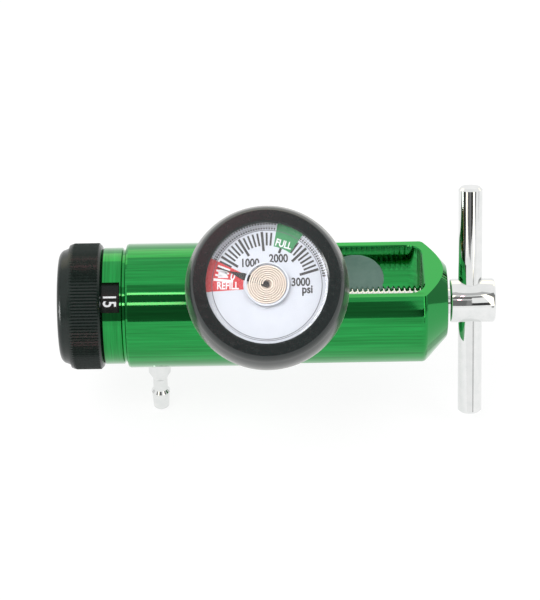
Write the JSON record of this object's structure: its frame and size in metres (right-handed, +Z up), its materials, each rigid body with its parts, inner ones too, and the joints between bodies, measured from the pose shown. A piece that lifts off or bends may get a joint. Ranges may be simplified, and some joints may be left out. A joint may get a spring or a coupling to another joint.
{
  "type": "oxygen regulator for a post valve cylinder",
  "caption": "Compact click-style oxygen regulator: a turned body with a yoke and tee screw for a post valve, a booted pressure gauge, a knurled flow selector knob and a hose barb outlet.",
  "frame": {"origin": "on the body axis, in the plane where the sealing washer meets the cylinder post", "axes": "+X along the body from the flow knob to the tee handle, the way the inlet nipple points; +Z up along the cylinder post, through the yoke window; -Y towards the user, the gauge leans 45 degrees from +Z to -Y"},
  "size_m": [0.1319, 0.0645, 0.0847],
  "materials": {
    "green_anodised": "bright green anodised, turned",
    "black_knob": "satin black, knurled",
    "black_skirt": "matte black with white numbers",
    "boot_rubber": "semi-gloss black rubber",
    "bright_chrome": "polished chrome plate",
    "steel": "plain bright steel",
    "brass": "turned brass",
    "bronze": "pale bronze strip",
    "seal_rubber": "black seal rubber",
    "seat_plastic": "pale seat plastic",
    "dial_print": "white enamel with printed scale",
    "pointer_black": "matte black",
    "lens": "clear lens",
    "tag_grey": "grey film"
  },
  "bodies": {
    "body": {"yoke_body": "green_anodised", "bonnet_collar": "green_anodised", "shaft_seal": "seal_rubber", "detent_ball": "steel", "detent_spring": "steel", "port_plate": "brass", "port_seal": "seal_rubber", "port_plate_seal": "seal_rubber", "piston_spring": "steel", "inlet_nipple": "brass", "inlet_filter": "bronze", "sealing_washer": "brass", "index_pins": "steel", "gauge_stem": "brass", "gauge_case": "steel", "gauge_dial": "dial_print", "bourdon_coil": "bronze", "coil_ring": "dial_print", "gauge_crystal": "lens", "gauge_boot": "boot_rubber", "outlet_barb": "bright_chrome", "round_tag": "tag_grey"},
    "flow_selector": {"flow_knob": "black_knob", "number_skirt": "black_skirt", "knob_set_screw": "steel", "selector_shaft": "steel", "orifice_disc": "brass"},
    "piston": {"regulating_piston": "brass", "piston_head_seal": "seal_rubber", "piston_stem_seal": "seal_rubber", "valve_seat": "seat_plastic"},
    "pointer": {"gauge_pointer": "pointer_black"},
    "thrust_foot": {"thrust_tip": "steel"},
    "clamp_screw": {"tee_screw": "bright_chrome", "tee_bar": "bright_chrome"}
  },
  "joints": [
    {"name": "flow_turn", "type": "hinge", "parent": "body", "child": "flow_selector", "pos_m": [-0.06, 0, 0], "axis": [1, 0, 0], "range_deg": [0, 330]},
    {"name": "piston_travel", "type": "slide", "parent": "body", "child": "piston", "axis": [1, 0, 0], "range_m": [0, 0.0008], "stiffness_N_per_m": 8000, "deforming": ["piston_spring"]},
    {"name": "pointer_swing", "type": "hinge", "parent": "body", "child": "pointer", "pos_m": [-0.0089, -0.02722, 0.02722], "axis": [0, -0.7071, 0.7071], "range_deg": [-144, 13.6], "stiffness_Nm_per_rad": 0.0002},
    {"name": "clamp_travel", "type": "slide", "parent": "body", "child": "thrust_foot", "axis": [1, 0, 0], "range_m": [0, 0.0254]},
    {"name": "clamp_turn", "type": "hinge", "parent": "thrust_foot", "child": "clamp_screw", "pos_m": [0.0526, 0, 0], "axis": [1, 0, 0], "range_deg": [0, 5761]}
  ],
  "couplings": [
    {"joint": "clamp_turn", "follows": "clamp_travel", "rad_per_m": 3957.9}
  ]
}
